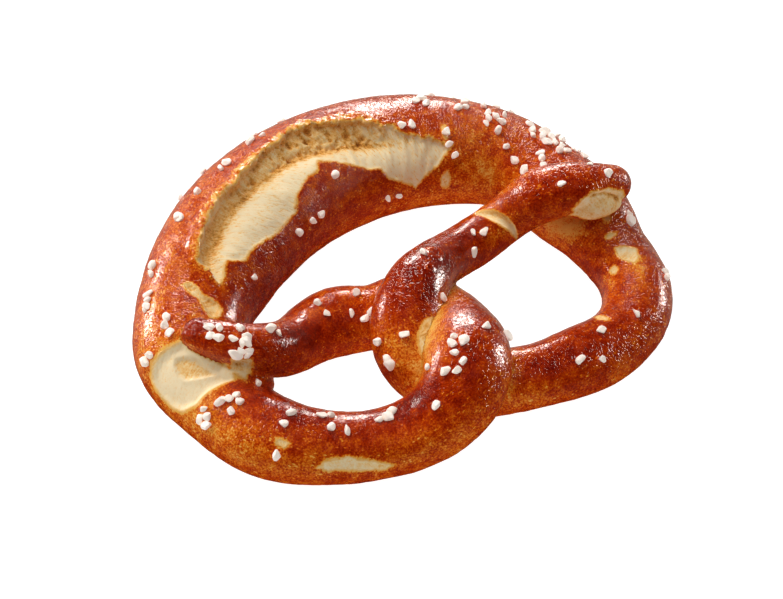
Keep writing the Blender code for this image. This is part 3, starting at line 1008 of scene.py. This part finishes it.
# Where grains lie, by station and in the order they are made: from and to in mm past it, from and to
# in degrees, how many.
SALT = [
    ("left_end", [(-10, -5.5, 50, 90, 5), (-4, -1, 95, 104, 2), (-3.5, 0.5, 56, 78, 5),
        (-2.5, 0.7, 26, 44, 5)]),
    ("left_arm_1", [(-5, -2.5, 70, 98, 2)]),
    ("left_arm_2", [(6.5, 8, 65, 110, 2)]),
    ("left_arm_3", [(1, 9, 43, 111, 4)]),
    ("left_fall", [(14, 22, 64, 98, 3)]),
    ("left_lobe_1", [(13, 24, 56, 100, 4)]),
    ("left_lobe_2", [(12, 13.5, 80, 101, 2), (12, 13.5, 142, 144, 1)]),
    ("left_lobe_3", [(4.9, 10.5, 90, 116, 5), (8, 13.2, 129, 160, 4), (8, 9, 50, 54, 1)]),
    ("left_lobe_4", [(16, 18, 138, 151, 2)]),
    ("belly_1", [(2, 7, 108, 113, 3), (11, 17.5, 132, 139, 4)]),
    ("belly_2", [(3, 10.5, 133, 137, 2), (13.5, 14.5, 31, 33, 1)]),
    ("belly_3", [(1, 4, 124, 128, 2), (12, 12.5, 120, 126, 2), (21, 25, 118, 126, 2),
        (19.5, 34, 22, 26, 3)]),
    ("belly_4", [(1, 8, 118, 122, 2), (13.5, 14.5, 45, 47, 1), (34, 41, 3, 7, 2)]),
    ("belly_5", [(11, 16, 70, 76, 2), (18, 22, 96, 112, 3), (26, 30, 42, 67, 3)]),
    ("belly_6", [(0, 10, 81, 116, 6), (10, 16, 77, 116, 5)]),
    ("belly_7", [(3, 13, 98, 122, 7), (2.5, 3.5, 66, 68, 1), (8.5, 9.5, 57, 59, 1), (11, 20, 104, 134, 6),
        (14, 20, 56, 88, 5)]),
    ("belly_8", [(1.5, 2.5, 133, 135, 1)]),
    ("right_lobe_1", [(8, 13, 118, 130, 2)]),
    ("right_lobe_3", [(0, 3, 137, 139, 2), (17, 18.4, 104, 106, 1)]),
    ("right_lobe_4", [(12.5, 13.5, 89, 91, 1), (17.5, 18.5, 132, 134, 1)]),
    ("right_lobe_5", [(4, 5.2, 119, 121, 1)]),
    ("right_lift", [(12, 13, 149, 151, 2)]),
    ("right_rise", [(2.5, 3.5, 147, 149, 1), (2.5, 3.5, 100, 102, 1), (16, 17, 21, 23, 1)]),
    ("right_over", [(7.2, 8, 95, 97, 1)]),
    ("right_arm_1", [(4.5, 5.5, 33, 35, 1), (10.2, 11.2, 71, 73, 1), (15.4, 16.4, 61, 63, 1)]),
    ("right_arm_4", [(7, 7.8, 61, 63, 1)]),
    ("right_end", [(1.2, 2, 112, 114, 1), (5.4, 6.2, 75, 77, 1)]),
    ("left_top", [(9.2, 10.2, 154, 156, 1), (11, 12, 111, 113, 1), (13, 22, 69, 92, 6),
        (21.5, 22.5, 39, 41, 1)]),
    ("left_over", [(0, 0.5, 73, 75, 1), (7.4, 8.2, 99, 101, 1)]),
    ("belly_3", [(5, 60, 146, 166, 6)]),
    ("belly_5", [(20, 70, 142, 162, 7)]),
]
GRAIN_SIZES = (2.0, 3.1)   # mm, before each grain is cut and stretched
GRAIN_FACETS = 10          # flat sides of a grain
GRAIN_SHARPNESS = 36       # how little the edges between the facets are rounded
GRAIN_CORNER = 1.6         # the inverse of how far out a corner can lie
GRAIN_STEPS = 3            # how finely each grain's mesh is divided
GRAIN_THINNING = 0.5       # part of its triangles that stays, mostly on its edges
GRAIN_SPACING = 2.4        # least distance between the places of two grains, mm
GRAIN_TILT = 0.35          # radians
GRAIN_SINK = 0.20          # part of a grain's height that is baked into the crust


def grain_points(directions, rng):
    """One blocky crystal with knocked edges as points in the given directions, about 1 mm across."""
    normals = rng.normal(size=(GRAIN_FACETS, 3))
    normals /= np.linalg.norm(normals, axis=1, keepdims=True)
    reach = rng.uniform(0.33, 0.50, GRAIN_FACETS)
    facing = np.clip(directions @ normals.T, 0.0, None) / reach
    radius = (facing ** GRAIN_SHARPNESS).sum(axis=1) + GRAIN_CORNER ** GRAIN_SHARPNESS
    radius **= -1.0 / GRAIN_SHARPNESS
    radius *= 1.0 + 0.06 * rough_noise(directions + rng.uniform(0.0, 90.0, 3), 0.7, 81, 2)
    stretch = rng.uniform((0.95, 0.70, 0.62), (1.35, 1.0, 0.85))
    return directions * radius[:, None] * stretch


def grain_spots(rng, surface):
    """Places and outward directions of all grains."""
    spots = []
    areas = [(rope.place[station], *area) for station, areas in SALT for area in areas]
    for start, first, last, low, high, count in areas:
        for _grain in range(count):
            for _try in range(40):
                s = np.array((start + rng.uniform(first, last),))
                near = plain_points(s, np.array((rng.uniform(low, high),)))[0]
                spot, normal, _face, _gap = surface.find_nearest(Vector((near - (*MIDDLE, 0.0)) * MM))
                if all((spot - other).length > GRAIN_SPACING * MM for other, _normal in spots):
                    break
            spots.append((spot, normal))
    return spots


def make_salt(dough):
    """All salt grains as one joined mesh lying on the crust."""
    rng = np.random.default_rng(7)
    surface = BVHTree.FromObject(dough, bpy.context.evaluated_depsgraph_get())
    directions, pattern = unit_ball(GRAIN_STEPS)
    low, high = free_box()
    points, faces = [], []
    for spot, normal in grain_spots(rng, surface):
        size = rng.uniform(*GRAIN_SIZES)
        grain = grain_points(directions, rng) * size
        turn = normal.to_track_quat("Z", "Y").to_matrix()
        turn = turn @ Matrix.Rotation(rng.uniform(0.0, 2.0 * pi), 3, "Z")
        turn = turn @ Matrix.Rotation(rng.uniform(-GRAIN_TILT, GRAIN_TILT), 3, "X")
        grain = grain @ np.array(turn).T
        out = np.array(normal)
        height = grain @ out
        grain += np.array(spot) / MM + out * (-height.min() - GRAIN_SINK * (height.max() - height.min()))
        over = np.maximum(grain.max(axis=0) - high, 0.0) - np.maximum(low - grain.min(axis=0), 0.0)
        if np.abs(over).max() > 0.5 * size:
            continue
        grain -= over
        faces.append(pattern + len(points) * len(directions))
        points.append(grain)
    mesh = with_modifiers(make_mesh("salt", np.vstack(points), np.vstack(faces).tolist()),
                          ("DECIMATE", {"ratio": GRAIN_THINNING}))
    return add("salt_grains", mesh)


# -------- studio and camera

FLOOR_REACH = 4000.0
FLOOR_GAP = 0.2            # below the pretzel


def make_floor():
    """A plain pale floor."""
    square = FLOOR_REACH * np.array(((-1, -1, 0), (1, -1, 0), (1, 1, 0), (-1, 1, 0)))
    floor = add("floor", make_mesh("floor", square - (0.0, 0.0, FLOOR_GAP), [(0, 1, 2, 3)]))
    floor.visible_glossy = False
    floor.data.materials.append(Nodes(bpy.data.materials.new("pale_floor")).principled({
        "Base Color": (0.35, 0.35, 0.35, 1.0), "Roughness": 0.9, "Emission Color": (1.0, 1.0, 1.0, 1.0),
        "Emission Strength": 1.0, "Specular IOR Level": 0.0,
    }))
    return floor


AZIMUTH = -36.0            # of the camera, degrees
ELEVATION = 47.0
DISTANCE = 0.578           # m
TARGET = Vector((-2.9, -5.5, 10.0)) * MM
LENS = 85.0


def from_camera(right, away, up):
    """A direction given to the camera's right, level away from it, and up."""
    a = radians(AZIMUTH)
    return Vector((right * cos(a) - away * sin(a), right * sin(a) + away * cos(a), up)).normalized()


def make_camera():
    """The photograph's view."""
    a, e = radians(AZIMUTH), radians(ELEVATION)
    back = Vector((sin(a) * cos(e), -cos(a) * cos(e), sin(e)))
    camera = add("camera", bpy.data.cameras.new("camera"))
    camera.data.lens = LENS
    camera.data.sensor_width = 36.0
    camera.data.clip_start, camera.data.clip_end = 0.01, 20.0
    camera.location = TARGET + DISTANCE * back
    camera.rotation_euler = back.to_track_quat("Z", "Y").to_euler()
    bpy.context.scene.camera = camera


WARM = (1.0, 0.92, 0.85)   # tint of the lamps that show as reflections

# Direction to the camera's right, away from it and up; distance, width and height in m; watts; which light.
LAMPS = {
    "key": ((-0.35, 0.5, 0.75), 1.1, 0.5, 0.5, 7.0, "diffuse"),
    "fill": ((0.0, -0.1, 1.0), 1.5, 1.6, 1.6, 12.0, "diffuse"),
    "sky_left": ((-0.9, 0.2, 0.35), 1.5, 0.8, 0.8, 8.0, "diffuse"),
    "back": ((-0.06, 1.0, 0.30), 1.2, 0.56, 0.34, 14.0, "glossy"),
    "left": ((-0.88, 0.48, 0.20), 1.2, 0.36, 0.40, 10.0, "glossy"),
    "right": ((0.90, 0.46, 0.16), 1.2, 0.28, 0.36, 12.0, "glossy"),
}


def make_lamp(name, towards, distance, wide, high, watts, part):
    """A soft light that looks at the pretzel and gives either its diffuse or its glossy light."""
    direction = from_camera(*towards)
    lamp = add(name, bpy.data.lights.new(name, "AREA"))
    lamp.data.shape = "RECTANGLE"
    lamp.data.size, lamp.data.size_y = wide, high
    lamp.data.energy = watts
    lamp.data.color = WARM if part == "glossy" else (1.0, 1.0, 1.0)
    lamp.location = TARGET + distance * direction
    lamp.rotation_euler = direction.to_track_quat("Z", "Y").to_euler()
    lamp.visible_diffuse = part == "diffuse"
    lamp.visible_glossy = part == "glossy"


def make_world():
    """White low behind the pretzel and beside it, dark overhead and on the camera's side."""
    world = bpy.data.worlds.new("studio")
    bpy.context.scene.world = world
    n = Nodes(world)
    place = n.node("TexCoord").outputs["Generated"]
    height = n.node("SeparateXYZ", {0: place}).outputs["Z"]
    behind = n.dot(place, from_camera(0.0, 1.0, 0.0))
    band = n.times(n.span(height, 0.05, 0.35, 0.50, 0.01), n.span(height, -0.80, -0.55, 0.0, 1.0))
    light = n.times(band, n.span(behind, 0.1, 0.6, 0.02, 1.0))
    colour = n.mix(light, (0.0, 0.0, 0.0, 1.0), (1.0, 0.80, 0.64, 1.0))
    back = n.node("Background", {"Color": colour, "Strength": 1.0})
    n.node("OutputWorld", {"Surface": back.outputs[0]})


# -------- the scene

make_camera()
dough = make_dough()
dough.data.materials.append(dough_material())
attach(dough, "root")
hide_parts("pretzel")

salt = make_salt(dough)
salt.data.materials.append(salt_material())
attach(salt, "root")

make_floor()
make_world()
for lamp_name, settings in LAMPS.items():
    make_lamp(lamp_name, *settings)
bpy.context.scene.view_settings.view_transform = "Standard"
